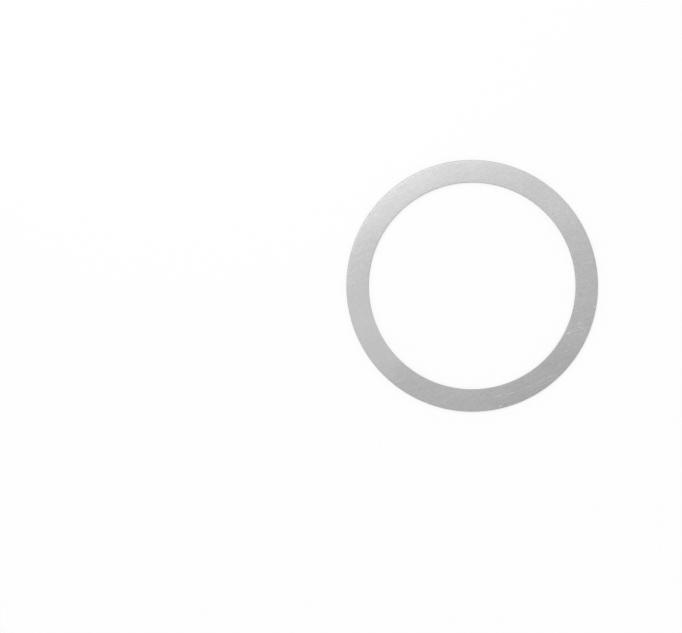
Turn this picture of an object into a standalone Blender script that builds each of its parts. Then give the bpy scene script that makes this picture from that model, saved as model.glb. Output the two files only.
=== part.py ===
"""A magnetic mount plate for a phone: a thin steel ring with adhesive on its back.

The ring lies flat, brushed face up, with the paper liner still on its adhesive.
Lengths are in metres and +Z is up. The origin is the middle of the ring, at the level
of the surface that the liner rests on.

Each layer is a closed profile turned about the Z axis. From the surface upwards they
are the release liner, the adhesive tape and the steel.
"""

import math

import bmesh
import bpy
from mathutils import Vector

MM = 0.001

# The steel ring. The hole and the band match the ring of magnets that it clings to.
HOLE_DIAMETER = 46.0 * MM
BAND_WIDTH = 5.0 * MM
STEEL_THICKNESS = 0.40 * MM

# The cut edges. The blanking tool draws the face down into a rounded shoulder at both
# edges. Below it the cut is plain, and near the back the metal breaks away at a slight
# slope. The two depths are shares of the sheet's thickness, as on any sheared sheet.
SHOULDER_WIDTH = 0.10 * MM
SHOULDER_DEPTH_SHARE = 0.15
BREAK_WIDTH = 0.03 * MM
BREAK_HEIGHT_SHARE = 0.30

# The tape and its liner are cut in one stroke, a little inside the steel's edges.
TAPE_THICKNESS = 0.15 * MM
LINER_THICKNESS = 0.12 * MM
LAYER_INSET = 0.15 * MM

# The space that is left between one layer and the next.
LAYER_CLEARANCE = 0.01 * MM

# How finely the circles and the shoulders are divided.
TURN_STEPS = 180
SHOULDER_STEPS = 4

# Edges that bend by more than this are drawn sharp.
SHARP_ANGLE = math.radians(40)


def rectangle_profile(hole_radius, outer_radius, thickness):
    """The corners of a flat layer's section, as (radius, height) pairs."""
    return [
        (outer_radius, 0.0),
        (outer_radius, thickness),
        (hole_radius, thickness),
        (hole_radius, 0.0),
    ]


def cut_edge(radius, outwards):
    """One cut edge of the steel from its back to its face, as (radius, height) pairs.

    outwards is 1 at the rim and -1 at the hole, where the metal lies on the other side.
    """
    depth = SHOULDER_DEPTH_SHARE * STEEL_THICKNESS
    points = [
        (radius - outwards * BREAK_WIDTH, 0.0),
        (radius, BREAK_HEIGHT_SHARE * STEEL_THICKNESS),
    ]
    for step in range(SHOULDER_STEPS + 1):
        turn = 0.5 * math.pi * step / SHOULDER_STEPS
        inwards = SHOULDER_WIDTH * (1.0 - math.cos(turn))
        drop = depth * (1.0 - math.sin(turn))
        points.append((radius - outwards * inwards, STEEL_THICKNESS - drop))
    return points


def steel_profile():
    """The section of the steel: up the rim, across the face and down into the hole."""
    hole_radius = 0.5 * HOLE_DIAMETER
    rim = cut_edge(hole_radius + BAND_WIDTH, 1)
    hole = cut_edge(hole_radius, -1)
    return rim + hole[::-1]


def turned_ring(name, profile, height, material, parent):
    """Turn a closed (radius, height) profile about Z into one solid ring."""
    bm = bmesh.new()
    corners = [bm.verts.new((radius, 0.0, z)) for radius, z in profile]
    edges = [bm.edges.new((a, b)) for a, b in zip(corners, corners[1:] + corners[:1])]
    bmesh.ops.spin(
        bm,
        geom=corners + edges,
        cent=Vector((0.0, 0.0, 0.0)),
        axis=Vector((0.0, 0.0, 1.0)),
        angle=2.0 * math.pi,
        steps=TURN_STEPS,
        use_merge=True,
    )
    bmesh.ops.recalc_face_normals(bm, faces=bm.faces)
    mesh = bpy.data.meshes.new(name)
    bm.to_mesh(mesh)
    bm.free()
    mesh.shade_smooth()
    mesh.set_sharp_from_angle(angle=SHARP_ANGLE)
    mesh.materials.append(material)

    ring = bpy.data.objects.new(name, mesh)
    ring.location.z = height
    ring.parent = parent
    bpy.context.collection.objects.link(ring)

    # The wide faces shade flat, so the shoulders beside them read as narrow bands.
    shading = ring.modifiers.new("Flat faces", "WEIGHTED_NORMAL")
    shading.keep_sharp = True
    return ring


def principled(name, colour, roughness, metallic=0.0):
    """A material with one Principled shader. The colour is linear."""
    material = bpy.data.materials.new(name)
    material.use_nodes = True
    shader = material.node_tree.nodes["Principled BSDF"]
    shader.inputs["Base Color"].default_value = (*colour, 1.0)
    shader.inputs["Roughness"].default_value = roughness
    shader.inputs["Metallic"].default_value = metallic
    return material


def release_liner(hole_radius, outer_radius, height, parent):
    """The paper that keeps the adhesive clean until the ring is stuck down."""
    profile = rectangle_profile(hole_radius, outer_radius, LINER_THICKNESS)
    paper = principled("Silicone-coated paper", (0.90, 0.90, 0.91), 0.55)
    return turned_ring("release_liner", profile, height, paper, parent)


def adhesive_tape(hole_radius, outer_radius, height, parent):
    """The double-sided tape that holds the ring to the back of a phone or a case."""
    profile = rectangle_profile(hole_radius, outer_radius, TAPE_THICKNESS)
    tape = principled("Double-sided tissue tape", (0.72, 0.72, 0.70), 0.45)
    return turned_ring("adhesive_tape", profile, height, tape, parent)


def steel_ring(height, parent):
    """The stamped ring that a magnetic mount or charger holds on to."""
    steel = principled("Brushed stainless steel", (0.58, 0.58, 0.58), 0.36, 1.0)
    return turned_ring("steel_ring", steel_profile(), height, steel, parent)


def build():
    """Clear the scene and stack the three layers."""
    for old in list(bpy.data.objects):
        bpy.data.objects.remove(old, do_unlink=True)

    plate = bpy.data.objects.new("mount_plate", None)
    plate.empty_display_size = 0.5 * HOLE_DIAMETER
    bpy.context.collection.objects.link(plate)

    layer_hole = 0.5 * HOLE_DIAMETER + LAYER_INSET
    layer_outer = 0.5 * HOLE_DIAMETER + BAND_WIDTH - LAYER_INSET
    tape_height = LINER_THICKNESS + LAYER_CLEARANCE
    steel_height = tape_height + TAPE_THICKNESS + LAYER_CLEARANCE
    release_liner(layer_hole, layer_outer, 0.0, plate)
    adhesive_tape(layer_hole, layer_outer, tape_height, plate)
    steel_ring(steel_height, plate)
    bpy.context.view_layer.update()


build()
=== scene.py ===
# %% [markdown]
# # A magnetic mount plate
#
# This lesson dresses a small stamped part: a ring of brushed stainless steel, 56 mm
# across, with a ring of double-sided tape on its back and a paper liner over the tape.
# The tape sticks the plate to what is to be held, and a magnetic mount clings to the
# steel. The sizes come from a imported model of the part, which is the fixed frame that
# everything here is built around. The looks are made in Blender: the drawn edges of the
# steel, the brush lines on its face, the soft edge of the tape and the printed liner.

# %% Load the frame
import math

import bmesh
import bpy
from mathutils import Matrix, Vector


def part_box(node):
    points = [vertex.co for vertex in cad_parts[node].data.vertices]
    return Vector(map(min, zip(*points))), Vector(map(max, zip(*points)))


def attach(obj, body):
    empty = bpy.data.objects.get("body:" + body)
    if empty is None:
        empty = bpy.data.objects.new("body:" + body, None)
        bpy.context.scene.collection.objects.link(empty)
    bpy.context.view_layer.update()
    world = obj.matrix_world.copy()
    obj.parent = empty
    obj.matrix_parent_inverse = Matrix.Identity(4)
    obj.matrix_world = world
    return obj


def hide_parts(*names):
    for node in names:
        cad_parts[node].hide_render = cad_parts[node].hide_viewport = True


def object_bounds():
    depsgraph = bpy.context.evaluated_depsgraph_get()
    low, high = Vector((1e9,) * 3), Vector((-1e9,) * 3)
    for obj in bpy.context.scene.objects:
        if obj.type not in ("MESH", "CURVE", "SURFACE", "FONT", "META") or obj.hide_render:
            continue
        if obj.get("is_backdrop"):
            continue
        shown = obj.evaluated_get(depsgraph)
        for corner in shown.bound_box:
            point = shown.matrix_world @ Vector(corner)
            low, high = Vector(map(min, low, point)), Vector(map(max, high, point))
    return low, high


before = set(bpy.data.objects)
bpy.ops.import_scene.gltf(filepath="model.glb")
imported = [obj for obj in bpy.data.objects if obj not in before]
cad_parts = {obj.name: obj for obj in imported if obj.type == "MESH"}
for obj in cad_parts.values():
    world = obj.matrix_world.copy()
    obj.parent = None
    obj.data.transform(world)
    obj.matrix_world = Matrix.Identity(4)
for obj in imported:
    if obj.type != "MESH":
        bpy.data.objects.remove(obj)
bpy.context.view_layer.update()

MM = 0.001
print("pieces in the frame:", sorted(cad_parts))

# %% [markdown]
# ## Measuring the frame
#
# Every layer is a ring about the Z axis, so four numbers describe it: the radius of its
# hole, the radius of its rim, and the heights of its underside and its top. The box of
# a node gives the rim and the heights. The hole isn't in the box, so it is read from
# the vertex that lies nearest to the axis.

# %% Measure the three layers


def measure_layer(node):
    """The radius of a ring's hole and of its rim, and the heights of its two sides."""
    low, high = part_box(node)
    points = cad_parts[node].data.vertices
    hole = min(math.hypot(point.co.x, point.co.y) for point in points)
    return {"hole": hole, "rim": high.x, "low": low.z, "high": high.z}


STEEL = measure_layer("steel_ring")
TAPE = measure_layer("adhesive_tape")
LINER = measure_layer("release_liner")
for title, layer in (("steel", STEEL), ("tape", TAPE), ("liner", LINER)):
    print(title, "in mm:", {key: round(value / MM, 3) for key, value in layer.items()})

# %% [markdown]
# ## The camera
#
# The photograph looks straight down on the ring, which shows as a circle. One known
# length sets the scale: the ring is 56 mm across and covers 251.7 pixels of a picture
# that is 682 pixels wide. A long lens keeps the perspective flat. The height follows
# from the lens, and the camera stands to one side of the ring by as much as the ring
# stands to one side of the middle of the picture.

# %% Place the camera
PHOTO_WIDTH_PX = 682
PHOTO_HEIGHT_PX = 633
RING_ACROSS_PX = 251.7
RING_MIDDLE_PX = (472.2, 285.85)
LENS_MM = 100.0
SENSOR_MM = 36.0

pixel = 2 * STEEL["rim"] / RING_ACROSS_PX
view_height = STEEL["high"] + pixel * PHOTO_WIDTH_PX * LENS_MM / SENSOR_MM

camera_data = bpy.data.cameras.new("Camera")
camera_data.lens = LENS_MM
camera_data.sensor_width = SENSOR_MM
camera = bpy.data.objects.new("Camera", camera_data)
camera.location = (
    pixel * (PHOTO_WIDTH_PX / 2 - RING_MIDDLE_PX[0]),
    pixel * (RING_MIDDLE_PX[1] - PHOTO_HEIGHT_PX / 2),
    view_height,
)
bpy.context.scene.collection.objects.link(camera)
bpy.context.scene.camera = camera
print("one pixel is", round(pixel / MM, 4), "mm, and the camera is at", camera.location)

# %% [markdown]
# ## The lamp
#
# The face goes from a light upper left to a darker lower right, and it does so
# smoothly. That is what a satin metal shows of a soft lamp that stands close by and not
# far from straight above: the near end of the ring mirrors more of it than the far end.
# So the key lamp is a small softbox about seven ring widths away. A lamp much further
# off would light the ring evenly.

# %% Key lamp
KEY_AT = Vector((-85, 125, 370)) * MM
KEY_SIDE = 80 * MM
KEY_WATTS = 0.41


def softbox(name, place, side, watts):
    """A square soft lamp that faces the middle of the ring and stays out of sight."""
    data = bpy.data.lights.new(name, "AREA")
    data.shape = "SQUARE"
    data.size = side
    data.energy = watts
    lamp = bpy.data.objects.new(name, data)
    lamp.location = place
    lamp.rotation_euler = (-place).to_track_quat("-Z", "Y").to_euler()
    lamp.visible_camera = False
    bpy.context.scene.collection.objects.link(lamp)


softbox("Key softbox", KEY_AT, KEY_SIDE, KEY_WATTS)
print("key lamp", round(KEY_AT.length / MM), "mm from the ring")

# %% [markdown]
# ## Colours and nodes
#
# Colours are written as the hex values that a painter would pick on a screen. Those are
# sRGB values, and shaders work with linear light, so one function turns the first into
# the second. Another adds a node with its settings and its links, for shaders and for
# Geometry Nodes alike, which keeps each tree short enough to read from top to bottom.

# %% Helpers for nodes


def linear(hex_colour):
    """Turn an sRGB hex colour into the linear colour that a shader's socket takes."""
    light = []
    for start in (1, 3, 5):
        level = int(hex_colour[start : start + 2], 16) / 255
        curved = ((level + 0.055) / 1.055) ** 2.4
        light.append(level / 12.92 if level <= 0.04045 else curved)
    return (*light, 1.0)


def add(tree, kind, inputs=None, **settings):
    """Add a node with its settings and its links.

    An input is given by its name, or by its number where a name comes twice. It takes a
    value, another node's output, or another node, whose first output in use is meant.
    """
    node = tree.nodes.new(kind)
    for name, value in settings.items():
        setattr(node, name, value)
    for key, value in (inputs or {}).items():
        named = [s for s in node.inputs if s.enabled and s.name == key]
        socket = named[0] if named else node.inputs[key]
        if isinstance(value, bpy.types.Node):
            value = next(s for s in value.outputs if s.enabled)
        if isinstance(value, bpy.types.NodeSocket):
            tree.links.new(value, socket)
        else:
            socket.default_value = value
    return node


print("mid grey #808080 is", round(linear("#808080")[0], 3), "in linear light")

# %% [markdown]
# ## The floor
#
# The floor is a sheet of white paper that runs out of sight. It takes light like any
# matt surface, so the ring's shadow falls on it. Paper in plain light renders as a pale
# grey and not as white, so the floor also has a glow. The Light Path node shows the
# glow only to the camera, to mirrors and through glass, so it lights nothing. The lamp
# lights the floor near the ring more than the floor far away. So the glow is whatever
# is missing from an even white, worked out from the distance and the angle to the lamp.

# %% How the lamp lights the floor
FALLOFF_POWER = 4.0


def key_falloff(tree):
    """The lamp's light on the floor, as a share of what it is under the ring.

    Light thins out with the square of the distance. The slant at which it leaves the
    lamp and the slant at which it meets the floor each divide it by the distance once
    more, which makes a fourth power.
    """
    place = add(tree, "ShaderNodeTexCoord").outputs["Object"]
    ray = add(tree, "ShaderNodeVectorMath", {0: place, 1: KEY_AT}, operation="SUBTRACT")
    reach = add(tree, "ShaderNodeVectorMath", {0: ray}, operation="LENGTH")
    aim = add(
        tree,
        "ShaderNodeVectorMath",
        {0: ray, 1: -KEY_AT.normalized()},
        operation="DOT_PRODUCT",
    )
    far = add(tree, "ShaderNodeMath", {0: reach, 1: FALLOFF_POWER}, operation="POWER")
    share = add(tree, "ShaderNodeMath", {0: aim, 1: far}, operation="DIVIDE")
    # Under the ring, aim and reach are the lamp's own distance, and the share is 1.
    return add(
        tree,
        "ShaderNodeMath",
        {0: share, 1: KEY_AT.length ** (FALLOFF_POWER - 1)},
        operation="MULTIPLY",
        use_clamp=True,
    )


print("the lamp's light is divided by its reach to the power", FALLOFF_POWER)

# %% White paper
WHITE = linear("#FFFFFF")
FLOOR_COLOUR = "#A8A8A8"
FLOOR_SEEN = 0.982
# The light that a matt surface under the ring gets from the room and the key lamp.
ROOM_LIGHT = 0.576
KEY_LIGHT = 0.22


def new_material(name):
    """An empty material and its node tree."""
    material = bpy.data.materials.new(name)
    material.use_nodes = True
    material.node_tree.nodes.clear()
    return material, material.node_tree


def seen_directly(tree):
    """1 for a ray from the camera, a mirror or through glass, and 0 for the rest."""
    path = add(tree, "ShaderNodeLightPath").outputs
    seen = path["Is Camera Ray"]
    for ray in ("Is Glossy Ray", "Is Transmission Ray"):
        seen = add(tree, "ShaderNodeMath", {0: seen, 1: path[ray]}, operation="MAXIMUM")
    return seen


def white_paper():
    """The floor's material: matt paper, with a glow that evens it out to white."""
    material, tree = new_material("White paper sweep")
    colour = linear(FLOOR_COLOUR)
    even = FLOOR_SEEN - colour[0] * ROOM_LIGHT
    glow = add(
        tree,
        "ShaderNodeMath",
        {0: key_falloff(tree), 1: -colour[0] * KEY_LIGHT, 2: even},
        operation="MULTIPLY_ADD",
    )
    strength = add(
        tree, "ShaderNodeMath", {0: seen_directly(tree), 1: glow}, operation="MULTIPLY"
    )
    matt = add(tree, "ShaderNodeBsdfDiffuse", {"Color": colour})
    light = add(tree, "ShaderNodeEmission", {"Color": WHITE, "Strength": strength})
    both = add(tree, "ShaderNodeAddShader", {0: matt, 1: light})
    add(tree, "ShaderNodeOutputMaterial", {"Surface": both})
    return material


PAPER_SWEEP = white_paper()
print("the floor is seen at", FLOOR_SEEN, "of white")

# %% Floor
FLOOR_HALF = 4.0
FLOOR_DROP = 0.01 * MM


def make_floor():
    """A square of white paper just under the liner."""
    mesh = bpy.data.meshes.new("floor")
    corners = [(-1, -1), (1, -1), (1, 1), (-1, 1)]
    points = [(x * FLOOR_HALF, y * FLOOR_HALF, -FLOOR_DROP) for x, y in corners]
    mesh.from_pydata(points, [], [(0, 1, 2, 3)])
    mesh.materials.append(PAPER_SWEEP)
    floor = bpy.data.objects.new("floor", mesh)
    bpy.context.scene.collection.objects.link(floor)
    floor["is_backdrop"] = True


make_floor()
print("floor", 2 * FLOOR_HALF, "m wide")

# %% [markdown]
# ## The room
#
# The world is white to the camera and a plain grey room to matt surfaces. Mirrors and
# metals see white walls under a greyer ceiling, with a darker stretch on two sides,
# such as an open door. The ceiling is what a metal face that points up reflects, and it
# gives the steel its depth. The darker sides show in the shoulders of the steel, as a
# thin dark line at the hole's upper left. More lamps could draw such reflections too,
# but they would light the floor as well, and the world doesn't.

# %% What metals see
CEILING_LIGHT = 0.656
# How steeply a ray has to rise to meet the edge of the ceiling, and all of its grey.
CEILING_FROM = 0.35
CEILING_FULL = 0.85
# Each darker side of the room: its direction in degrees from X, and its light.
DARK_SIDES = [(322, 0.35), (100, 0.35)]
# The cosine of the angle from that direction at which a darker side begins.
SIDE_FROM = 0.5


def mirrored_room(tree):
    """What mirrors and metals see: white walls with darker sides, and the ceiling."""
    direction = add(tree, "ShaderNodeTexCoord").outputs["Generated"]
    height = add(tree, "ShaderNodeSeparateXYZ", {0: direction}).outputs["Z"]
    room = add(
        tree,
        "ShaderNodeMapRange",
        {
            "Value": height,
            "From Min": CEILING_FROM,
            "From Max": CEILING_FULL,
            "To Min": 1.0,
            "To Max": CEILING_LIGHT,
        },
        interpolation_type="SMOOTHSTEP",
    )
    for degrees, level in DARK_SIDES:
        turn = math.radians(degrees)
        aim = add(
            tree,
            "ShaderNodeVectorMath",
            {0: direction, 1: (math.cos(turn), math.sin(turn), 0.0)},
            operation="DOT_PRODUCT",
        )
        side = add(
            tree,
            "ShaderNodeMapRange",
            {"Value": aim, "From Min": SIDE_FROM, "To Min": 1.0, "To Max": level},
            interpolation_type="SMOOTHSTEP",
        )
        room = add(tree, "ShaderNodeMath", {0: room, 1: side}, operation="MULTIPLY")
    return room


print("metals see a ceiling of", CEILING_LIGHT, "and", len(DARK_SIDES), "darker sides")

# %% World


def make_world():
    """White to the camera, and a plain room to the surfaces that it lights."""
    world = bpy.data.worlds.new("Plain room")
    world.use_nodes = True
    tree = world.node_tree
    tree.nodes.clear()
    path = add(tree, "ShaderNodeLightPath").outputs
    room = add(
        tree,
        "ShaderNodeMix",
        {"Factor": path["Is Glossy Ray"], "A": ROOM_LIGHT, "B": mirrored_room(tree)},
    )
    white = add(
        tree,
        "ShaderNodeMath",
        {0: path["Is Camera Ray"], 1: path["Is Transmission Ray"]},
        operation="MAXIMUM",
    )
    strength = add(tree, "ShaderNodeMix", {"Factor": white, "A": room, "B": 1.0})
    light = add(tree, "ShaderNodeBackground", {"Color": WHITE, "Strength": strength})
    add(tree, "ShaderNodeOutputWorld", {"Surface": light})
    bpy.context.scene.world = world


make_world()
bpy.context.scene.view_settings.view_transform = "Standard"
print("the room gives matt surfaces", ROOM_LIGHT, "of white")

# %% [markdown]
# ## A tree that turns a section into a ring
#
# All three layers are turned forms, so one Geometry Nodes tree makes them all. It takes
# the section as a flat closed curve, whose X is the distance from the middle of the
# band and whose Y is the height, and sweeps it round a circle. The same could be done
# with the Screw modifier. The tree is chosen because it also hands over what the finish
# needs. It stores a UV map that lies along the brush lines, it gives the cut edge a
# material of its own, and it can let the edge of a soft layer wander a little, as a
# cutting die leaves it.

# %% Inputs of the tree
TREE_INPUTS = {
    "Section": "Geometry",
    "Band Radius": "Float",
    "Turn Steps": "Int",
    "Edge Below": "Float",
    "Edge Above": "Float",
    "Brush Angle": "Float",
    "Wander": "Float",
    "Wander Length": "Float",
    "Face": "Material",
    "Edge": "Material",
}


def tree_inputs(tree):
    """Name the inputs and the output of the sweep."""
    for name, kind in TREE_INPUTS.items():
        kind = "NodeSocket" + kind
        tree.interface.new_socket(name, in_out="INPUT", socket_type=kind)
    tree.interface.new_socket("Ring", in_out="OUTPUT", socket_type="NodeSocketGeometry")
    return add(tree, "NodeGroupInput").outputs


print("the tree takes:", ", ".join(TREE_INPUTS))

# %% An edge that wanders
WANDER_SEED = 4.0
# Noise seldom leaves this part of its range, so this part makes the whole sway.
WANDER_RANGE = (0.25, 0.75)
IN_PLANE = (1.0, 1.0, 0.0)


def wander(tree, given, place):
    """How far each point moves towards or away from the axis."""
    per_length = add(
        tree, "ShaderNodeMath", {0: 1.0, 1: given["Wander Length"]}, operation="DIVIDE"
    )
    noise = add(
        tree,
        "ShaderNodeTexNoise",
        {"Vector": place, "W": WANDER_SEED, "Scale": per_length, "Detail": 2.0},
        noise_dimensions="4D",
    )
    low, high = WANDER_RANGE
    sway = add(
        tree,
        "ShaderNodeMapRange",
        {"Value": noise, "From Min": low, "From Max": high, "To Min": -1.0},
    )
    reach = add(
        tree, "ShaderNodeMath", {0: sway, 1: given["Wander"]}, operation="MULTIPLY"
    )
    level = add(
        tree, "ShaderNodeVectorMath", {0: place, 1: IN_PLANE}, operation="MULTIPLY"
    )
    outwards = add(tree, "ShaderNodeVectorMath", {0: level}, operation="NORMALIZE")
    return add(
        tree, "ShaderNodeVectorMath", {0: outwards, "Scale": reach}, operation="SCALE"
    )


print("edges wander with seed", WANDER_SEED)

# %% Brushing map and sharp edges
SHARP_ANGLE = math.radians(35)


def with_brushing(tree, geometry, place, angle):
    """Store a UV map, in metres, whose U runs along the brush lines."""
    laid = add(
        tree,
        "ShaderNodeVectorRotate",
        {"Vector": place, "Angle": angle},
        rotation_type="Z_AXIS",
        invert=True,
    )
    return add(
        tree,
        "GeometryNodeStoreNamedAttribute",
        {"Geometry": geometry, "Name": "Brushing", "Value": laid},
        data_type="FLOAT2",
        domain="CORNER",
    )


def creased(tree, geometry):
    """Shade the mesh smooth, apart from edges that bend by more than SHARP_ANGLE."""
    smooth = add(tree, "GeometryNodeSetShadeSmooth", {"Geometry": geometry})
    bend = add(tree, "GeometryNodeInputMeshEdgeAngle").outputs["Unsigned Angle"]
    over = {"A": bend, "B": SHARP_ANGLE}
    sharp = add(tree, "FunctionNodeCompare", over, operation="GREATER_THAN")
    return add(
        tree,
        "GeometryNodeSetShadeSmooth",
        {"Geometry": smooth, "Selection": sharp, "Shade Smooth": False},
        domain="EDGE",
    )


print("edges that bend by over", round(math.degrees(SHARP_ANGLE)), "degrees are sharp")

# %% The sweep


def between(tree, value, low, high):
    """True where a value lies between two levels."""
    ends = []
    for level, side in ((low, "GREATER_THAN"), (high, "LESS_THAN")):
        pair = {"A": value, "B": level}
        ends.append(add(tree, "FunctionNodeCompare", pair, operation=side))
    both = dict(enumerate(ends))
    return add(tree, "FunctionNodeBooleanMath", both, operation="AND")


def sweep_tree():
    """Build the tree: a section goes in, and a ring with its materials comes out."""
    tree = bpy.data.node_groups.new("Turn a section", "GeometryNodeTree")
    given = tree_inputs(tree)
    circle = add(
        tree,
        "GeometryNodeCurvePrimitiveCircle",
        {"Resolution": given["Turn Steps"], "Radius": given["Band Radius"]},
        mode="RADIUS",
    )
    section = given["Section"]
    ring = add(
        tree, "GeometryNodeCurveToMesh", {"Curve": circle, "Profile Curve": section}
    )
    place = add(tree, "GeometryNodeInputPosition")
    sway = wander(tree, given, place)
    soft = add(tree, "GeometryNodeSetPosition", {"Geometry": ring, "Offset": sway})
    mapped = with_brushing(tree, soft, place, given["Brush Angle"])
    smooth = creased(tree, mapped)
    plain = add(tree, "GeometryNodeRealizeInstances", {"Geometry": smooth})
    faced = add(
        tree, "GeometryNodeSetMaterial", {"Geometry": plain, "Material": given["Face"]}
    )
    height = add(tree, "ShaderNodeSeparateXYZ", {0: place}).outputs["Z"]
    at_edge = between(tree, height, given["Edge Below"], given["Edge Above"])
    edged = add(
        tree,
        "GeometryNodeSetMaterial",
        {"Geometry": faced, "Selection": at_edge, "Material": given["Edge"]},
    )
    add(tree, "NodeGroupOutput", {"Ring": edged})
    return tree


SWEEP = sweep_tree()
print("the sweep tree has", len(SWEEP.nodes), "nodes")

# %% [markdown]
# ## From a section to a finished piece
#
# The tree needs the section as a curve object. Its result is then turned into a plain
# mesh, because an exported model can't hold live nodes. The volume of that mesh is a
# good test: it is positive only if the mesh is closed and its faces point outwards.

# %% Section and volume
TURN_STEPS = 720


def section_curve(name, points):
    """A closed curve through (distance from mid-band, height) points.

    The sweep turns a section's Y towards the floor. So the curve is drawn upside down,
    and from its last point to its first, which keeps the faces pointing outwards.
    """
    data = bpy.data.curves.new(name, "CURVE")
    data.dimensions = "2D"
    data.fill_mode = "NONE"
    spline = data.splines.new("POLY")
    spline.points.add(len(points) - 1)
    for point, (x, y) in zip(spline.points, reversed(points)):
        point.co = (x, -y, 0.0, 1.0)
    spline.use_cyclic_u = True
    holder = bpy.data.objects.new(name, data)
    bpy.context.scene.collection.objects.link(holder)
    return holder


def volume(mesh):
    """A closed mesh's volume in cubic mm, positive if its faces point outwards."""
    solid = bmesh.new()
    solid.from_mesh(mesh)
    found = solid.calc_volume(signed=True)
    solid.free()
    return found / MM**3


step_length = 2 * math.pi * STEEL["rim"] / TURN_STEPS
print("one step round the rim is", round(step_length / MM, 3), "mm long")

# %% A finished piece
BRUSH_ANGLE = math.radians(20)


def turned_piece(name, section, layer, inputs):
    """Sweep a section round a layer's band, and keep the result as a plain mesh."""
    holder = section_curve(name + "_section", section)
    modifier = holder.modifiers.new(SWEEP.name, "NODES")
    modifier.node_group = SWEEP
    sockets = {s.name: s for s in SWEEP.interface.items_tree if s.in_out == "INPUT"}
    common = {
        "Band Radius": 0.5 * (layer["rim"] + layer["hole"]),
        "Turn Steps": TURN_STEPS,
        "Brush Angle": BRUSH_ANGLE,
        "Wander Length": MM,
    }
    for title, value in (common | inputs).items():
        modifier[sockets[title].identifier] = value
    bpy.context.view_layer.update()
    graph = bpy.context.evaluated_depsgraph_get()
    mesh = bpy.data.meshes.new_from_object(holder.evaluated_get(graph), depsgraph=graph)
    bpy.data.objects.remove(holder)
    mesh.name = name
    piece = bpy.data.objects.new(name, mesh)
    bpy.context.scene.collection.objects.link(piece)
    heights = [round(1000 * point.co.z / MM) for point in mesh.vertices]
    print(name, "has", len(mesh.polygons), "faces and", round(volume(mesh), 1), "mm3,")
    print("  from", min(heights), "to", max(heights), "thousandths of a mm up")
    return piece


print("the sheet is brushed at", round(math.degrees(BRUSH_ANGLE)), "degrees from X")

# %% [markdown]
# ## The steel's section
#
# The ring is stamped from sheet. The blanking tool draws the face down into a rounded
# shoulder at both edges before it shears the metal. Below the shoulder the cut is
# straight and bright, and near the back the metal tears away at a slight slope. The
# face itself is not quite flat: it falls away by a few thousandths of a millimetre
# towards the shoulders. That is too little to see from the side, but a satin finish
# shows it as a change of tone across the band.
#
# The shoulder is a quarter of an ellipse. A loop works it out, like the fall of the
# face, so the section has only the points that its curves need.

# %% Steel section
SHOULDER_WIDTH = 0.10 * MM
SHOULDER_DEPTH = 0.06 * MM
SHOULDER_STEPS = 10
BREAK_WIDTH = 0.03 * MM
BREAK_HEIGHT = 0.12 * MM
CROWN_FALL = 0.006 * MM
CROWN_STEPS = 12


def steel_section():
    """The section from the back of the rim over the face to the back of the hole."""
    half = 0.5 * (STEEL["rim"] - STEEL["hole"])
    flat_half = half - SHOULDER_WIDTH
    top = STEEL["high"]
    edge = [
        (half - BREAK_WIDTH, STEEL["low"]),
        (half, STEEL["low"] + BREAK_HEIGHT),
    ]
    for step in range(SHOULDER_STEPS):
        turn = 0.5 * math.pi * step / SHOULDER_STEPS
        x = flat_half + SHOULDER_WIDTH * math.cos(turn)
        drop = CROWN_FALL + (SHOULDER_DEPTH - CROWN_FALL) * (1.0 - math.sin(turn))
        edge.append((x, top - drop))
    face = []
    for step in range(CROWN_STEPS + 1):
        share = 1.0 - 2.0 * step / CROWN_STEPS
        face.append((flat_half * share, top - CROWN_FALL * share**2))
    return edge + face + [(-x, y) for x, y in reversed(edge)]


print("the steel's section has", len(steel_section()), "points")

# %% [markdown]
# ## Brush lines
#
# The sheet was brushed with an abrasive belt before the ring was stamped from it. So
# fine straight lines run across the whole ring in one direction, and don't follow its
# curve. A noise texture becomes such lines when it is stretched far more along one axis
# than along the other. A Mapping node set to Texture does it in one step: it turns the
# pattern to the brush angle and scales it to a length and a width in millimetres.
#
# The real scratches of a fine belt are about 0.02 mm wide, a tenth of what a pixel of
# the photograph covers. So the lines are drawn at two coarser widths: hairlines, which
# show in a close view, and streaks, which still show from further away. Between them
# lie the small pits that the belt doesn't reach, drawn coarser in the same way, and
# over all of it the slow clouds that rolling leaves in a sheet.

# %% Noise in millimetres
# The length, width and height of a cell of each noise. A belt's real scratches and pits
# are about BELT_SCRATCH wide. They are drawn coarser, so that they show, and the clouds
# have their real size.
BELT_SCRATCH = 0.02 * MM
HAIRLINE = (1.6 * MM, 5 * BELT_SCRATCH, MM)
STREAK = (9.0 * MM, 17.5 * BELT_SCRATCH, MM)
PIT = (15 * BELT_SCRATCH, 12 * BELT_SCRATCH, MM)
CLOUD = (14.0 * MM, 5.0 * MM, MM)
# Noise keeps to the middle of its range, and this part of it is spread from 0 to 1.
GRAIN_RANGE = (0.35, 0.65)


def grain_pattern(tree, size, turn=0.0, detail=2.0):
    """Noise whose cells have a size along X, Y and Z and are turned about Z."""
    place = add(tree, "ShaderNodeTexCoord").outputs["Object"]
    cell = add(
        tree,
        "ShaderNodeMapping",
        {"Vector": place, "Rotation": (0.0, 0.0, turn), "Scale": size},
        vector_type="TEXTURE",
    )
    return add(
        tree, "ShaderNodeTexNoise", {"Vector": cell, "Scale": 1.0, "Detail": detail}
    )


def along_brushing(tree, size, detail=2.0):
    """A grain that lies along the brush lines and is spread to its full contrast."""
    grain = grain_pattern(tree, size, BRUSH_ANGLE, detail)
    low, high = GRAIN_RANGE
    return add(
        tree, "ShaderNodeMapRange", {"Value": grain, "From Min": low, "From Max": high}
    )


for title, size in (("hairline", HAIRLINE), ("streak", STREAK), ("pit", PIT)):
    print("a", title, "covers", round(size[1] / pixel, 1), "pixels")

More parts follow.
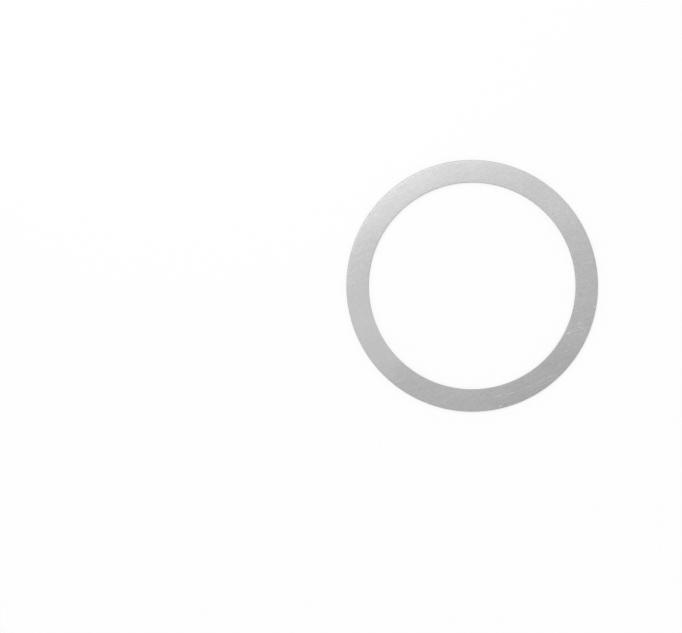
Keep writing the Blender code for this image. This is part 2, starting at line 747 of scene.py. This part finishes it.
# %% [markdown]
# ## Handling marks
#
# A loose ring that has been handled has a few marks. Here a long scratch fades in and
# out along the lower right, with a group of short nicks beside it, a few points at the
# rim and some dark specks. The scratch, the nicks and the points at the rim are pale
# with a painted glint. Fainter rubs are spread all round. Below them lie broad patches
# that have no clear edge. Some are painted sheen, where the face is a little lighter or
# a little darker as the lamp's highlight spreads across it. One patch is worn so smooth
# that the brush lines fade.
#
# Every mark is an oval with its own place, size and turn, so the marks are kept as
# lists, and one function draws any of them. Nicks and scratches have raised metal that
# catches the light, and specks are dents that hold dirt, so these go into the relief
# too. Nicks and scratches also get a painted glint, a near-white colour. Rubs change
# only the colour, and the painted sheen patches only the tone. A Bump node works its
# input out three times, and a shader with every mark in its relief would be too large
# to render.

# %% Nicks, scratches and specks
# Each mark: its x, y, length and width in mm, its turn in degrees, and its strength.
# Nicks and scratches: raised metal in the relief, with a painted glint in the colour.
NICKS = [
    (21.45, -10.45, 1.33, 0.49, 26, 0.56),
    (23.87, -8.35, 1.11, 0.40, 34, 0.46),
    (23.76, -9.16, 1.11, 0.33, 26, 0.42),
    (24.50, -9.27, 1.22, 0.33, -35, 0.27),
    (25.92, -6.37, 0.89, 0.49, 50, 0.25),
    (27.17, -4.68, 0.80, 0.44, 85, 0.40),
    (6.25, -26.82, 0.80, 0.49, 20, 0.40),
]
SCRATCHES = [
    (5.95, -24.52, 2.40, 0.32, 11, 0.42),
    (7.55, -24.15, 1.00, 0.32, 13, 0.34),
    (8.60, -23.85, 2.80, 0.27, 17, 0.46),
    (10.52, -23.26, 2.44, 0.25, 16, 0.14),
    (12.45, -22.52, 4.90, 0.27, 24, 0.28),
    (15.22, -21.17, 3.26, 0.28, 33, 0.27),
    (17.35, -20.15, 2.17, 0.26, 25, 0.32),
    (18.60, -19.86, 1.09, 0.32, 5, 0.25),
]
SPECKS = [
    (21.54, -11.29, 0.71, 0.49, 60, 0.09),
    (7.34, -26.31, 0.76, 0.44, 8, 0.35),
    (24.05, -1.99, 0.76, 0.62, 0, 0.18),
    (13.91, -23.13, 0.89, 0.62, 60, 0.12),
    (3.52, -24.37, 1.33, 0.89, 0, 0.13),
    (18.53, -17.72, 1.56, 1.00, 20, 0.06),
]
print(len(NICKS), "nicks,", len(SCRATCHES), "strokes,", len(SPECKS), "specks")

# %% Rubs
RUBS = [
    (22.65, -10.05, 2.22, 0.33, 10, 0.21),
    (23.35, -9.93, 0.95, 0.38, 5, 0.20),
    (25.23, -10.00, 1.33, 0.36, -50, 0.18),
    (26.52, -7.46, 1.11, 0.29, 75, 0.07),
    (23.18, -5.48, 0.89, 0.36, 80, 0.23),
    (20.91, -14.52, 0.93, 0.58, 5, 0.21),
    (19.36, -17.57, 0.80, 0.71, 0, 0.19),
    (21.40, -13.07, 0.62, 0.44, 0, 0.21),
    (17.84, -16.10, 0.62, 0.49, 0, 0.14),
    (22.96, -15.16, 0.89, 0.40, 50, 0.18),
    (11.97, -20.68, 0.98, 0.71, 80, 0.22),
    (13.17, -19.68, 1.02, 0.58, 40, 0.09),
    (9.97, -21.26, 1.78, 0.36, 24, 0.07),
    (3.78, -27.31, 0.80, 0.40, 5, 0.09),
    (6.54, -25.69, 0.76, 0.53, 0, 0.05),
    (-7.70, 26.13, 0.80, 0.58, 70, 0.22),
    (-23.49, 13.94, 0.71, 0.58, 10, 0.18),
    (-17.09, 20.93, 1.33, 0.49, -70, 0.14),
    (21.00, 16.60, 1.90, 0.36, -62, 0.23),
    (22.52, 14.07, 2.00, 0.34, -65, 0.24),
    (23.65, 12.60, 1.50, 0.36, -62, 0.22),
    (10.90, 24.90, 1.33, 0.44, -28, 0.17),
    (26.00, 5.10, 2.40, 0.34, 3, 0.21),
    (-21.50, 16.00, 1.30, 0.40, -65, 0.17),
    (-20.75, 15.40, 1.20, 0.38, -65, 0.13),
    (-24.60, 4.65, 0.62, 0.58, 0, 0.15),
]
print(len(RUBS), "rubs")

# %% Broad patches
# Painted sheen, lighter and darker where the lamp's highlight spreads, and where the
# face is worn smooth.
PAINTED_SHEEN_LIGHT = [
    (-21.60, -12.80, 26.00, 16.00, -62, 0.20),
    (19.60, 16.60, 15.00, 11.00, -48, 0.17),
]
PAINTED_SHEEN_DARK = [
    (14.00, -21.40, 34.00, 16.00, 32, 0.18),
    (-24.40, 7.00, 15.00, 12.00, 74, 0.13),
    (-4.60, 25.10, 13.00, 11.00, 10, 0.09),
]
WORN = [(-23.00, -8.50, 30.00, 22.00, 70, 0.48)]
print(len(PAINTED_SHEEN_LIGHT), "lighter,", len(PAINTED_SHEEN_DARK), "darker,", len(WORN), "worn")

# %% Drawing the marks
# An oval is at its full strength out to this share of its reach, and fades from there.
MARK_CORE = 0.3


def marks(tree, ovals):
    """The strength of each oval mark in its middle, and 0 outside all of them."""
    place = add(tree, "ShaderNodeTexCoord").outputs["Object"]
    total = 0.0
    for x, y, length, width, turn, strength in ovals:
        own = add(
            tree,
            "ShaderNodeMapping",
            {
                "Vector": place,
                "Location": (x * MM, y * MM, 0.0),
                "Rotation": (0.0, 0.0, math.radians(turn)),
                "Scale": (0.5 * length * MM, 0.5 * width * MM, 1.0),
            },
            vector_type="TEXTURE",
        )
        reach = add(tree, "ShaderNodeVectorMath", {0: own}, operation="LENGTH")
        oval = add(
            tree,
            "ShaderNodeMapRange",
            {"Value": reach, "From Min": MARK_CORE, "To Min": strength, "To Max": 0.0},
            interpolation_type="SMOOTHSTEP",
        )
        total = add(tree, "ShaderNodeMath", {0: total, 1: oval}, operation="MAXIMUM")
    return total


print("ovals in the relief:", len(NICKS + SCRATCHES + SPECKS + WORN))

# %% [markdown]
# ## The steel's face
#
# Stainless steel is a grey metal: it reflects about 60% of the light, evenly over all
# colours. The belt gives it a satin sheen that is drawn out across the brush lines,
# which is what the Anisotropic input does once it is told which way the lines run. The
# UV map that the sweep stored says so. Colour, roughness and a very shallow bump all
# take the same lines, as they would on the real sheet. The shoulders are duller than
# the face, because the metal was drawn out there after the sheet was brushed. An image
# texture could hold all this, but it would blur in a close view, and noise doesn't.

# %% Lines and tone
PIT_SHARE = 0.6
STREAK_SHARE = 0.15
CLOUD_SHARE = 0.25
# The middle tone that the lines fade to where the face is worn.
WORN_TONE = 0.5


def belt_lines(tree):
    """Hairlines, pits and streaks, which fade where the face is worn."""
    hairs = along_brushing(tree, HAIRLINE, detail=3.0)
    streaks = along_brushing(tree, STREAK, detail=3.0)
    pits = along_brushing(tree, PIT)
    fine = add(tree, "ShaderNodeMix", {"Factor": PIT_SHARE, "A": hairs, "B": pits})
    belt = add(tree, "ShaderNodeMix", {"Factor": STREAK_SHARE, "A": fine, "B": streaks})
    worn = marks(tree, WORN)
    return add(tree, "ShaderNodeMix", {"Factor": worn, "A": belt, "B": WORN_TONE})


def face_tone(tree, lines):
    """The lines under slow clouds, raised or lowered by the painted sheen patches."""
    clouds = grain_pattern(tree, CLOUD, BRUSH_ANGLE)
    clouded = add(
        tree, "ShaderNodeMix", {"Factor": CLOUD_SHARE, "A": lines, "B": clouds}
    )
    # Painted sheen: the lighter patches add tone, and the darker ones take it away.
    patches = {0: marks(tree, PAINTED_SHEEN_LIGHT), 1: marks(tree, PAINTED_SHEEN_DARK)}
    painted_sheen = add(tree, "ShaderNodeMath", patches, operation="SUBTRACT")
    return add(tree, "ShaderNodeMath", {0: clouded, 1: painted_sheen}, operation="ADD")


print("clouds make up", CLOUD_SHARE, "of the tone")

# %% Colour and relief
STEEL_DARK = "#BBBBBB"
STEEL_LIGHT = "#D7D7D7"
# Near-white: the pale of rubs, and a painted glint on nicks and scratches.
STEEL_GLINT_AND_RUB = "#FAFAFA"
STEEL_SPECK = "#7C7C7C"
HAIRLINE_DEPTH = 0.0016 * MM
NICK_DEPTH = 0.002 * MM


def face_colour(tree, tone, raised, dented):
    """Grey by its tone, pale where rubbed, with a painted glint where scratched, and dark
    in a dent.
    """
    rubbed = marks(tree, RUBS)
    pale = add(tree, "ShaderNodeMath", {0: raised, 1: rubbed}, operation="MAXIMUM")
    colour = linear(STEEL_DARK)
    for share, tint in ((tone, STEEL_LIGHT), (pale, STEEL_GLINT_AND_RUB), (dented, STEEL_SPECK)):
        colour = add(
            tree,
            "ShaderNodeMix",
            {"Factor": share, "A": colour, "B": linear(tint)},
            data_type="RGBA",
        )
    return colour


def face_relief(tree, lines, raised, dented):
    """The slopes of the brush lines, with those of the marks and dents over them."""
    brushed = add(
        tree, "ShaderNodeBump", {"Distance": HAIRLINE_DEPTH, "Height": lines}
    )
    height = add(tree, "ShaderNodeMath", {0: raised, 1: dented}, operation="SUBTRACT")
    return add(
        tree,
        "ShaderNodeBump",
        {"Distance": NICK_DEPTH, "Height": height, "Normal": brushed},
    )


print("steel goes from", STEEL_DARK, "to", STEEL_LIGHT)

# %% Dull shoulders


def shoulders(tree):
    """1 on the drawn shoulders at the rim and the hole, and 0 on the face."""
    place = add(tree, "ShaderNodeTexCoord").outputs["Object"]
    level = add(
        tree, "ShaderNodeVectorMath", {0: place, 1: IN_PLANE}, operation="MULTIPLY"
    )
    out = add(tree, "ShaderNodeVectorMath", {0: level}, operation="LENGTH")
    middle = 0.5 * (STEEL["rim"] + STEEL["hole"])
    side = add(tree, "ShaderNodeMath", {0: out, 1: middle}, operation="SUBTRACT")
    beside = add(tree, "ShaderNodeMath", {0: side}, operation="ABSOLUTE")
    shoulder = STEEL["rim"] - middle - SHOULDER_WIDTH
    return add(
        tree,
        "ShaderNodeMapRange",
        {
            "Value": beside,
            "From Min": shoulder - 0.5 * SHOULDER_WIDTH,
            "From Max": shoulder + 0.5 * SHOULDER_WIDTH,
        },
        interpolation_type="SMOOTHSTEP",
    )


print("a shoulder covers", round(SHOULDER_WIDTH / pixel, 1), "of a pixel")

# %% Brushed stainless steel
STEEL_ROUGHNESS = (0.37, 0.43)
STEEL_SHEEN = 0.5
SHOULDER_ROUGHNESS = 0.75


def brushed_steel():
    """The face: satin metal with straight brush lines and a few handling marks."""
    material, tree = new_material("Brushed stainless steel")
    lines = belt_lines(tree)
    tone = face_tone(tree, lines)
    # Raised marks go into the relief and also carry a painted glint in the colour.
    raised = marks(tree, NICKS + SCRATCHES)
    dented = marks(tree, SPECKS)
    smoothest, roughest = STEEL_ROUGHNESS
    satin = add(
        tree,
        "ShaderNodeMapRange",
        {"Value": tone, "To Min": smoothest, "To Max": roughest},
    )
    rough = add(
        tree,
        "ShaderNodeMix",
        {"Factor": shoulders(tree), "A": satin, "B": SHOULDER_ROUGHNESS},
    )
    lay = add(tree, "ShaderNodeTangent", direction_type="UV_MAP", uv_map="Brushing")
    shader = add(
        tree,
        "ShaderNodeBsdfPrincipled",
        {
            "Base Color": face_colour(tree, tone, raised, dented),
            "Metallic": 1.0,
            "Roughness": rough,
            "Anisotropic": STEEL_SHEEN,
            "Tangent": lay,
            "Normal": face_relief(tree, lines, raised, dented),
        },
    )
    add(tree, "ShaderNodeOutputMaterial", {"Surface": shader})
    return material


FACE_STEEL = brushed_steel()
print("the face's material has", len(FACE_STEEL.node_tree.nodes), "nodes")

# %% [markdown]
# ## The steel's cut edge
#
# The tool leaves two bands on a cut edge. The upper band is burnished: the metal slid
# along the tool, so it is smooth, with fine upright score lines. The lower band is torn
# and grainy, so it is darker and duller. The height of the line between them wavers a
# little round the ring. Both are in one material, because they are one surface, and the
# height in Object coordinates tells them apart.

# %% The line between the bands
BAND_WAVER = 0.05 * MM
WAVER_LENGTH = 1.2 * MM
TEAR_SOFTNESS = 0.01 * MM


def above_tear(tree):
    """1 on the burnished band and 0 on the torn one."""
    place = add(tree, "ShaderNodeTexCoord").outputs["Object"]
    height = add(tree, "ShaderNodeSeparateXYZ", {0: place}).outputs["Z"]
    waver = grain_pattern(tree, (WAVER_LENGTH,) * 3)
    wavering = {0: waver, 1: BAND_WAVER, 2: height}
    level = add(tree, "ShaderNodeMath", wavering, operation="MULTIPLY_ADD")
    tear_line = STEEL["low"] + BREAK_HEIGHT + 0.5 * BAND_WAVER
    return add(
        tree,
        "ShaderNodeMapRange",
        {
            "Value": level,
            "From Min": tear_line - TEAR_SOFTNESS,
            "From Max": tear_line + TEAR_SOFTNESS,
        },
    )


print("the metal is torn up to", BREAK_HEIGHT / MM, "mm above the back")

# %% Sheared steel
BURNISHED = "#C6C6C6"
TORN = "#A2A2A1"
BURNISHED_ROUGHNESS = 0.28
TORN_ROUGHNESS = 0.55
EDGE_SHADE = (0.82, 1.16)
# A blanking tool's score lines are about TOOL_SCORE wide. They are drawn coarser, so
# that they show, and the grains of the torn band have their real size.
TOOL_SCORE = 0.02 * MM
SCORE = (3 * TOOL_SCORE, 3 * TOOL_SCORE, 1.5 * MM)
SCORE_DEPTH = 0.002 * MM
GRAIN = 0.035 * MM


def sheared_steel():
    """The cut edge: a burnished band above a torn one."""
    material, tree = new_material("Sheared steel edge")
    bright = above_tear(tree)
    scores = grain_pattern(tree, SCORE)
    grains = grain_pattern(tree, (GRAIN,) * 3)
    surface = add(tree, "ShaderNodeMix", {"Factor": bright, "A": grains, "B": scores})
    band = add(
        tree,
        "ShaderNodeMix",
        {"Factor": bright, "A": linear(TORN), "B": linear(BURNISHED)},
        data_type="RGBA",
    )
    low, high = EDGE_SHADE
    shade = add(
        tree, "ShaderNodeMapRange", {"Value": surface, "To Min": low, "To Max": high}
    )
    colour = add(
        tree, "ShaderNodeVectorMath", {0: band, "Scale": shade}, operation="SCALE"
    )
    rough = add(
        tree,
        "ShaderNodeMapRange",
        {"Value": bright, "To Min": TORN_ROUGHNESS, "To Max": BURNISHED_ROUGHNESS},
    )
    relief = add(
        tree, "ShaderNodeBump", {"Distance": SCORE_DEPTH, "Height": surface}
    )
    finish = {"Base Color": colour, "Roughness": rough, "Normal": relief}
    shader = add(tree, "ShaderNodeBsdfPrincipled", finish | {"Metallic": 1.0})
    add(tree, "ShaderNodeOutputMaterial", {"Surface": shader})
    return material


EDGE_STEEL = sheared_steel()
print("the edge's material has", len(EDGE_STEEL.node_tree.nodes), "nodes")

# %% [markdown]
# ## The steel ring
#
# The section, the tree and the two materials come together here. The cut edge is
# everything between the back and the foot of the shoulder.

# %% Steel ring
BACK_MARGIN = 0.001 * MM
SHOULDER_FOOT = STEEL["high"] - SHOULDER_DEPTH

steel = turned_piece(
    "stamped_steel_ring",
    steel_section(),
    STEEL,
    {
        "Edge Below": STEEL["low"] + BACK_MARGIN,
        "Edge Above": SHOULDER_FOOT,
        "Face": FACE_STEEL,
        "Edge": EDGE_STEEL,
    },
)
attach(steel, "root")
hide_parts("steel_ring")
print("the cut edge is", round((SHOULDER_FOOT - STEEL["low"]) / MM, 3), "mm high")

# %% [markdown]
# ## The adhesive tape
#
# The tape is a thin tissue soaked in soft acrylic adhesive. It was cut together with
# the liner, and the adhesive has crept since: its edge bulges and is not quite even.
# Both are in the mesh, because they show where light catches the edge from the side.
# One more point just inside each corner of the section keeps the wide faces flat, since
# smooth shading would otherwise spread the bulge's roundness over them.

# %% Tape section
TAPE_BULGE = 0.04 * MM
TAPE_BULGE_STEPS = 8
HOLD_BACK = 0.05 * MM


def tape_section():
    """A flat layer whose two edges bulge outwards."""
    half = 0.5 * (TAPE["rim"] - TAPE["hole"]) - TAPE_BULGE
    middle = 0.5 * (TAPE["high"] + TAPE["low"])
    rise = 0.5 * (TAPE["high"] - TAPE["low"])
    side = [(half - HOLD_BACK, TAPE["low"])]
    for step in range(TAPE_BULGE_STEPS + 1):
        turn = math.pi * (step / TAPE_BULGE_STEPS - 0.5)
        x = half + TAPE_BULGE * math.cos(turn)
        side.append((x, middle + rise * math.sin(turn)))
    side.append((half - HOLD_BACK, TAPE["high"]))
    return side + [(-x, y) for x, y in reversed(side)]


print("the tape's section has", len(tape_section()), "points")

# %% Tissue tape
TISSUE_PALE = "#E4E3DE"
TISSUE_DEEP = "#D7D5CE"
TISSUE_ROUGHNESS = (0.30, 0.48)
ADHESIVE_IOR = 1.47
# A fibre of tissue is about TISSUE_FIBRE thick, and is drawn coarser, so that it shows.
TISSUE_FIBRE = 0.02 * MM
FIBRE = (1.6 * MM, 3.5 * TISSUE_FIBRE, MM)
FIBRE_TURNS = (15, 75, 130)
# The part of the noise's range in which a fibre rises out of the adhesive.
FIBRE_RANGE = (0.50, 0.72)


def tissue_tape():
    """Milky adhesive with the fibres of its tissue showing through."""
    material, tree = new_material("Double-sided tissue tape")
    fibres = 0.0
    for turn in FIBRE_TURNS:
        lie = grain_pattern(tree, FIBRE, math.radians(turn))
        fibres = add(tree, "ShaderNodeMath", {0: lie, 1: fibres}, operation="MAXIMUM")
    low, high = FIBRE_RANGE
    web = add(
        tree, "ShaderNodeMapRange", {"Value": fibres, "From Min": low, "From Max": high}
    )
    colour = add(
        tree,
        "ShaderNodeMix",
        {"Factor": web, "A": linear(TISSUE_DEEP), "B": linear(TISSUE_PALE)},
        data_type="RGBA",
    )
    smoothest, roughest = TISSUE_ROUGHNESS
    rough = add(
        tree,
        "ShaderNodeMapRange",
        {"Value": web, "To Min": smoothest, "To Max": roughest},
    )
    finish = {"Base Color": colour, "Roughness": rough, "IOR": ADHESIVE_IOR}
    shader = add(tree, "ShaderNodeBsdfPrincipled", finish)
    add(tree, "ShaderNodeOutputMaterial", {"Surface": shader})
    return material


TISSUE = tissue_tape()
print("the tape's material has", len(TISSUE.node_tree.nodes), "nodes")

# %% Tape
TAPE_WANDER = 0.02 * MM

tape = turned_piece(
    "double_sided_tape_ring",
    tape_section(),
    TAPE,
    {"Wander": TAPE_WANDER, "Face": TISSUE, "Edge": TISSUE},
)
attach(tape, "root")
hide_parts("adhesive_tape")

# %% [markdown]
# ## The print on the liner
#
# Liners are printed in rows that take no notice of where the ring is cut, so rows run
# off both edges. Here each row repeats a plain bar and a group of slanting ticks, and
# every row starts at a place of its own. The pattern could be a mesh of thin ink
# shapes, but ink has no height to speak of, so it belongs in the paper's colour.
#
# Every shape is a sum that is negative inside it and positive outside. The larger of
# two such sums is where both shapes are, and the smaller is where either is. The list
# below works them out, one Math node a line. All its sizes are in millimetres.

# %% Sizes of the print
PRINT_TURN = math.radians(-8)
ROW_PITCH = 7.2
ROW_HALF = 1.3
BLOCK = 15.0
BAR_HALF = 2.9
BAR_MIDDLE = 3.6
TICKS_HALF = 3.0
TICKS_MIDDLE = 10.6
TICK_PITCH = 1.5
TICK_SLANT = 0.45
INK_EDGE = 0.04
print("a row of print every", ROW_PITCH, "mm, in blocks", BLOCK, "mm long")

# %% Printed rows


def ink(tree):
    """1 where the liner is printed and 0 where it is bare."""
    place = add(tree, "ShaderNodeTexCoord").outputs["Object"]
    in_mm = add(
        tree,
        "ShaderNodeMapping",
        {"Vector": place, "Rotation": (0.0, 0.0, PRINT_TURN), "Scale": (MM,) * 3},
        vector_type="TEXTURE",
    )
    x, y, _ = add(tree, "ShaderNodeSeparateXYZ", {0: in_mm}).outputs
    rows_up = add(tree, "ShaderNodeMath", {0: y, 1: ROW_PITCH}, operation="DIVIDE")
    row = add(tree, "ShaderNodeMath", {0: rows_up}, operation="FLOOR")
    start = add(tree, "ShaderNodeTexWhiteNoise", {"W": row}, noise_dimensions="1D")
    found = {"x": x, "rows up": rows_up, "start": start.outputs["Value"]}
    for name, operation, *operands in (
        ("row share", "FRACT", "rows up"),
        ("from mid-row", "MULTIPLY_ADD", "row share", ROW_PITCH, -0.5 * ROW_PITCH),
        ("beside row", "ABSOLUTE", "from mid-row"),
        ("off row", "SUBTRACT", "beside row", ROW_HALF),
        ("blocks", "DIVIDE", "x", BLOCK),
        ("shifted", "ADD", "blocks", "start"),
        ("block share", "FRACT", "shifted"),
        ("in block", "MULTIPLY", "block share", BLOCK),
        ("from bar", "SUBTRACT", "in block", BAR_MIDDLE),
        ("beside bar", "ABSOLUTE", "from bar"),
        ("off bar", "SUBTRACT", "beside bar", BAR_HALF),
        ("from ticks", "SUBTRACT", "in block", TICKS_MIDDLE),
        ("slanted", "MULTIPLY_ADD", "from mid-row", -TICK_SLANT, "from ticks"),
        ("beside ticks", "ABSOLUTE", "slanted"),
        ("off ticks", "SUBTRACT", "beside ticks", TICKS_HALF),
        ("tick wave", "PINGPONG", "slanted", 0.5 * TICK_PITCH),
        ("off tick", "SUBTRACT", "tick wave", 0.25 * TICK_PITCH),
        ("off each tick", "MAXIMUM", "off ticks", "off tick"),
        ("off shapes", "MINIMUM", "off bar", "off each tick"),
        ("off ink", "MAXIMUM", "off row", "off shapes"),
    ):
        values = {i: found.get(value, value) for i, value in enumerate(operands)}
        found[name] = add(tree, "ShaderNodeMath", values, operation=operation)
    return add(
        tree,
        "ShaderNodeMapRange",
        {
            "Value": found["off ink"],
            "From Min": -INK_EDGE,
            "From Max": INK_EDGE,
            "To Min": 1.0,
            "To Max": 0.0,
        },
    )


print("the rows are turned by", round(math.degrees(PRINT_TURN)), "degrees")

# %% [markdown]
# ## The release liner
#
# The liner is thin white paper with a silicone coat, so that the adhesive lets go of
# it. The coat gives it a soft gloss over a matt white with a faint cloudiness, where
# the paper's fibres lie thicker or thinner. Its edge was pressed round by the cutting
# die on the side that lies down.

# %% Liner section
DIE_ROUND = 0.02 * MM
DIE_ROUND_STEPS = 4


def liner_section():
    """A flat layer whose lower corners are rounded."""
    half = 0.5 * (LINER["rim"] - LINER["hole"])
    side = [(half - DIE_ROUND - HOLD_BACK, LINER["low"])]
    for step in range(DIE_ROUND_STEPS + 1):
        turn = 0.5 * math.pi * step / DIE_ROUND_STEPS
        x = half - DIE_ROUND * (1.0 - math.sin(turn))
        side.append((x, LINER["low"] + DIE_ROUND * (1.0 - math.cos(turn))))
    side.append((half, LINER["high"]))
    return side + [(-x, y) for x, y in reversed(side)]


print("the liner's section has", len(liner_section()), "points")

# %% Printed paper
PAPER_WHITE = "#F3F3F2"
PAPER_THIN = "#E9E9E8"
INK_GREY = "#4A4A4C"
PRINTED_BELOW = 0.01 * MM


def paper_colour(tree, tufts):
    """White, greyer where the fibres lie thin, and printed on the underside."""
    bare = add(
        tree,
        "ShaderNodeMix",
        {"Factor": tufts, "A": linear(PAPER_THIN), "B": linear(PAPER_WHITE)},
        data_type="RGBA",
    )
    place = add(tree, "ShaderNodeTexCoord").outputs["Object"]
    height = add(tree, "ShaderNodeSeparateXYZ", {0: place}).outputs["Z"]
    under = add(
        tree, "ShaderNodeMath", {0: height, 1: PRINTED_BELOW}, operation="LESS_THAN"
    )
    printed = add(
        tree, "ShaderNodeMath", {0: under, 1: ink(tree)}, operation="MULTIPLY"
    )
    return add(
        tree,
        "ShaderNodeMix",
        {"Factor": printed, "A": bare, "B": linear(INK_GREY)},
        data_type="RGBA",
    )


print("only what lies under", PRINTED_BELOW / MM, "mm is printed")

# %% Coated paper
PAPER_ROUGHNESS = 0.55
COAT_WEIGHT = 0.35
COAT_ROUGHNESS = 0.30
SILICONE_IOR = 1.41
# A fibre of paper is about PAPER_FIBRE thick, too fine to show, so tufts are drawn.
PAPER_FIBRE = 0.03 * MM
TUFT = (15 * PAPER_FIBRE, 6 * PAPER_FIBRE, MM)
TUFT_DEPTH = 0.003 * MM


def coated_paper():
    """White paper with a silicone coat, printed on its underside."""
    material, tree = new_material("Silicone-coated paper")
    tufts = grain_pattern(tree, TUFT, detail=4.0)
    relief = add(tree, "ShaderNodeBump", {"Distance": TUFT_DEPTH, "Height": tufts})
    shader = add(
        tree,
        "ShaderNodeBsdfPrincipled",
        {
            "Base Color": paper_colour(tree, tufts),
            "Roughness": PAPER_ROUGHNESS,
            "Coat Weight": COAT_WEIGHT,
            "Coat Roughness": COAT_ROUGHNESS,
            "Coat IOR": SILICONE_IOR,
            "Normal": relief,
        },
    )
    add(tree, "ShaderNodeOutputMaterial", {"Surface": shader})
    return material


PAPER = coated_paper()
print("the liner's material has", len(PAPER.node_tree.nodes), "nodes")

# %% Liner
LINER_WANDER = 0.004 * MM

liner = turned_piece(
    "printed_release_liner",
    liner_section(),
    LINER,
    {"Wander": LINER_WANDER, "Face": PAPER, "Edge": PAPER},
)
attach(liner, "root")
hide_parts("release_liner")

# %% [markdown]
# ## Closing
#
# The finished model has to stay inside the box of the frame, so the size of the
# finished pieces is printed here.

# %% Sizes of the finished model
visual_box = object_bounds()
visual_size = visual_box[1] - visual_box[0]
print("visual size in mm:", [round(side / MM, 3) for side in visual_size])
